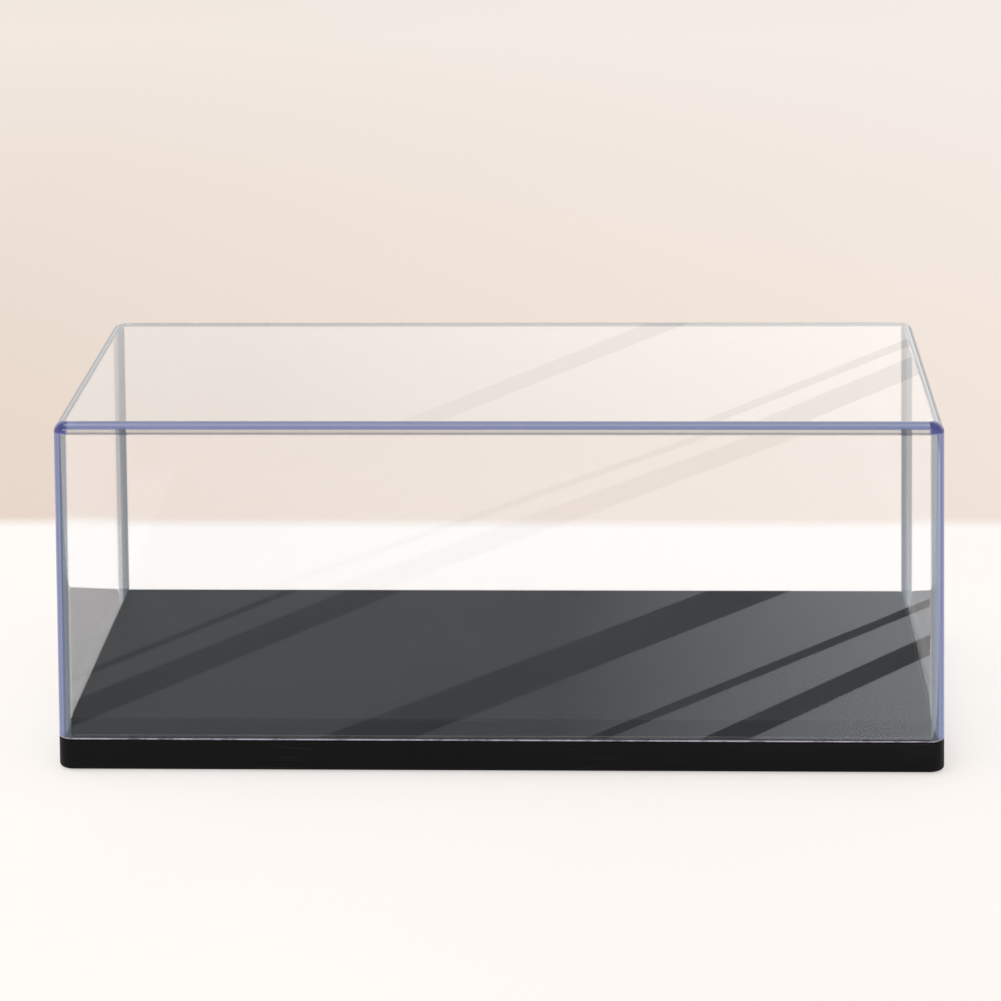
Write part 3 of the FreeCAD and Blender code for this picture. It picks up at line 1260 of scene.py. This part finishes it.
@dataclass
class GlareCard:
    """A striped soft card that only polished faces see.

    Args:
        name: Name of the object.
        half: Half its length along X.
        span: Where its depth starts and ends.
        level: Where it lies on the third axis.
        near: Which depth the streaks' centres count from.
        left: Brightness at the left end.
        right: Brightness at the right end.
        dim: How much brightness a streak takes away at the left and right ends.
        streaks: The darker bands.
        upright: Whether depth runs along Z instead of Y.
        tone: Colour of its light.
        rise: Where along the card the brightness starts to change.
        settled: Where along the card the change ends.
        soft: Half the width of a streak's soft edge.
    """

    name: str
    half: float
    span: tuple[float, float]
    level: float
    near: float
    left: float
    right: float
    dim: tuple[float, float]
    streaks: Sequence[Streak]
    upright: bool = False
    tone: Colour = (0.89, 0.95, 1.0, 1.0)
    rise: float = -0.12
    settled: float = 0.13
    soft: float = 0.4 * MM

    def material(self) -> bpy.types.Material:
        """Build the card's glow.

        Returns:
            The finished material.
        """
        material, wiring, output = blank_material(self.name)
        along, back, up = wiring.axes(wiring.place())
        depth = wiring.sum("SUBTRACT", up if self.upright else back, self.near)
        shade = None
        for streak in self.streaks:
            shifted = wiring.sum("MULTIPLY_ADD", depth, streak.lean, along)
            off = wiring.sum("ABSOLUTE", wiring.sum("SUBTRACT", shifted, streak.centre))
            edge = streak.width / 2
            inside = wiring.spread(off, edge - self.soft, edge + self.soft, 1.0, 0.0)
            shade = inside if shade is None else wiring.sum("MAXIMUM", shade, inside)
        glow = wiring.spread(along, self.rise, self.settled, self.left, self.right)
        taken = wiring.spread(along, self.rise, self.settled, *self.dim)
        streaked = wiring.sum("SUBTRACT", glow, wiring.sum("MULTIPLY", shade, taken))
        path = wiring.add("ShaderNodeLightPath").outputs
        outermost = wiring.sum("LESS_THAN", path["Transmission Depth"], NONE_OR_MORE)
        mirrored = wiring.sum("GREATER_THAN", path["Glossy Depth"], NONE_OR_MORE)
        glowing = wiring.add("ShaderNodeEmission")
        wiring.feed(glowing.inputs["Color"], self.tone)
        wiring.feed(glowing.inputs["Strength"], wiring.sum("MULTIPLY", streaked, outermost))
        unseen = wiring.add("ShaderNodeBsdfTransparent")
        seen = wiring.mix(mirrored, unseen.outputs[0], glowing.outputs[0])
        wiring.feed(output.inputs["Surface"], seen)
        return material

    def build(self) -> None:
        """Build the card."""
        start, end = self.span
        ends = ((-self.half, start), (self.half, start), (self.half, end), (-self.half, end))
        if self.upright:
            corners = [Vector((x, self.level, z)) for x, z in ends]
        else:
            corners = [Vector((x, y, self.level)) for x, y in ends]
        card = sheet(self.name, corners, self.material())
        card.visible_camera = False
        card.visible_diffuse = False
        card.visible_shadow = False


@dataclass(frozen=True)
class FloorPaint(Finish):
    """The floor's pale paint, white near the case and warmer behind it, with painted shade behind
    the case that is darkest close to it on the left.

    Args:
        white: Near colour where it is cleanest.
        cream: Near colour where it is warmest.
        shaded: Colours just behind the case, at its left and at its right, darkened with painted
            shade.
        lit: Colours far behind the case, at its left and at its right, with less painted shade.
        sides: Where left and right are, along X.
        back: Where the shaded and the lit strip are, along Y.
        fold: Where the floor's tone turns, along Y.
        soft: Half the width of that turn.
        glow: Share of the brightness that takes no shade.
    """

    name: str = "studio_floor"
    white: Colour = (0.985, 0.96, 0.93, 1.0)
    cream: Colour = (0.945, 0.895, 0.86, 1.0)
    # Painted shade behind the case: darkest close behind it and on the left.
    shaded: tuple[Colour, Colour] = ((0.75, 0.63, 0.545, 1.0), (0.88, 0.775, 0.71, 1.0))
    lit: tuple[Colour, Colour] = ((0.905, 0.83, 0.775, 1.0), (0.925, 0.87, 0.835, 1.0))
    sides: tuple[float, float] = (-0.25, 0.3)
    back: tuple[float, float] = (0.17, 1.2)
    fold: float = 0.172
    soft: float = 6.0 * MM
    glow: float = 0.6

    def make(self) -> bpy.types.Material:
        """Build the material.

        Returns:
            The finished material.
        """
        material, wiring, output = blank_material(self.name)
        place = wiring.place()
        along, depth, _ = wiring.axes(place)
        side = wiring.spread(along, *self.sides)
        # Painted shade behind the case, fading from the shaded to the lit colours.
        low, high = wiring.blend(side, *self.shaded), wiring.blend(side, *self.lit)
        far = wiring.blend(wiring.spread(depth, *self.back), low, high)
        near = wiring.blend(wiring.noise(place, 3.0, 2.0), self.white, self.cream)
        turn = wiring.spread(depth, self.fold - self.soft, self.fold + self.soft)
        paint = wiring.blend(turn, near, far)
        matt = wiring.add("ShaderNodeBsdfDiffuse")
        wiring.feed(matt.inputs["Color"], paint)
        glowing = wiring.add("ShaderNodeEmission")
        wiring.feed(glowing.inputs["Color"], paint)
        both = wiring.mix(self.glow, matt.outputs[0], glowing.outputs[0])
        wiring.feed(output.inputs["Surface"], both)
        return material


@dataclass
class Studio:
    """Pale floor, soft light and the camera.

    Args:
        reach: Half the floor's side.
        card_meet: Where the two low cards meet, along Y.
        card_height: Height of the two low cards.
        lens: Focal length in millimetres.
        sensor: Width of the sensor in millimetres.
        eye: Where the camera stands.
        yaw: Turn of the camera to the right, in radians.
        pitch: How far it looks down, in radians.
        roll: Its roll, in radians.
    """

    reach: float = 6.0
    card_meet: float = -0.2446
    card_height: float = 1.0 * MM
    lens: float = 125.2
    sensor: float = 36.0
    eye: tuple[float, float, float] = (0.0363, -0.9393, 0.3390)
    yaw: float = -0.0401
    pitch: float = 0.2896
    roll: float = -0.0102

    def floor(self) -> None:
        """Lay the floor."""
        turns = ((-1, -1), (1, -1), (1, 1), (-1, 1))
        corners = [Vector((x * self.reach, y * self.reach, 0.0)) for x, y in turns]
        sheet("studio_floor", corners, FloorPaint().make())

    def cards(self) -> None:
        """Set up the cards that streak the polished faces with light."""
        lower = (
            Streak(-0.0340, 0.0264, 0.711),
            Streak(0.0297, 0.0062, 0.731),
            Streak(0.0652, 0.0133, 0.680),
            Streak(-0.1572, 0.0042, 0.556),
            Streak(-0.1329, 0.0177, 0.573),
        )
        GlareCard(
            "glare_card_low",
            half=0.5,
            span=(self.card_meet, -0.0876),
            level=self.card_height,
            near=-0.0932,
            left=1.15,
            right=3.6,
            dim=(0.46, 3.0),
            streaks=lower,
            rise=0.015,
        ).build()
        upper = (Streak(-0.0178, 0.0198, 0.643), Streak(-0.0455, 0.0066, 0.643))
        GlareCard(
            "glare_card_high",
            half=0.6,
            span=(-0.60, self.card_meet),
            level=self.card_height,
            near=-0.30,
            left=3.7,
            right=4.5,
            dim=(0.25, 1.6),
            streaks=upper,
            tone=(1.0, 0.99, 0.97, 1.0),
        ).build()
        roof = (
            Streak(0.1440, 0.020, 2.3),
            Streak(0.1180, 0.008, 2.4),
            Streak(0.0034, 0.016, 2.45),
        )
        GlareCard(
            "glare_card_back",
            half=1.0,
            span=(0.12, 0.6),
            level=0.4,
            near=0.20,
            upright=True,
            left=1.50,
            right=1.95,
            dim=(0.08, 0.38),
            streaks=roof,
            tone=(1.0, 0.96, 0.92, 1.0),
        ).build()

    def lights(self) -> None:
        """Set up the soft world and the two softboxes."""
        world = bpy.data.worlds.new("soft_room")
        bpy.context.scene.world = world
        world.use_nodes = True
        backdrop = world.node_tree.nodes["Background"]
        backdrop.inputs["Color"].default_value = (1.0, 0.985, 0.965, 1.0)
        backdrop.inputs["Strength"].default_value = 0.80
        for name, place, turn, size, power in (
            ("softbox_top", (-0.3, 0.1, 1.6), (0.0, -0.18, 0.0), 1.2, 8.0),
            ("softbox_front", (-1.3, -1.6, 1.5), (0.95, 0.0, -0.68), 1.0, 7.0),
        ):
            light = bpy.data.lights.new(name, "AREA")
            light.shape = "RECTANGLE"
            light.size = size
            light.size_y = size * 0.7
            light.energy = power
            holder = stand(name, light)
            holder.location = place
            holder.rotation_euler = Euler(turn)

    def camera(self) -> None:
        """Stand the camera."""
        data = bpy.data.cameras.new("camera")
        data.lens = self.lens
        data.sensor_width = self.sensor
        aim = Euler((RIGHT_ANGLE - self.pitch, 0.0, -self.yaw)).to_matrix().to_4x4()
        tilt = Matrix.Rotation(self.roll, 4, "Z")
        holder = stand("camera", data)
        holder.matrix_world = Matrix.Translation(Vector(self.eye)) @ aim @ tilt
        bpy.context.scene.camera = holder

    def build(self) -> None:
        """Set up everything round the case."""
        self.floor()
        self.cards()
        self.lights()
        self.camera()
        scene = bpy.context.scene
        scene.view_settings.view_transform = "Standard"
        scene.cycles.max_bounces = 32
        scene.cycles.transmission_bounces = 32
        scene.cycles.glossy_bounces = 12
        scene.cycles.transparent_max_bounces = 16


def main() -> None:
    """Build the case and its studio in order, and report each piece."""
    logging.basicConfig(level=logging.INFO, format="%(name)s: %(message)s")
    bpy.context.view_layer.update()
    base = BaseTray()
    base.build(SatinBlack().make())
    rubber = MattRubber().make()
    pads = [FootPad(node=node) for node in FootPad.CORNERS]
    for pad in pads:
        pad.build(rubber)
    cover = CoverShell()
    cover.build(ClearStyrene().make(), LipHighlight().make())
    for group in (base, *pads, cover):
        for piece in group.made:
            LOG.info("%s: %d faces", piece.name, len(piece.data.polygons))
    Studio().build()


if __name__ == "__main__":
    main()
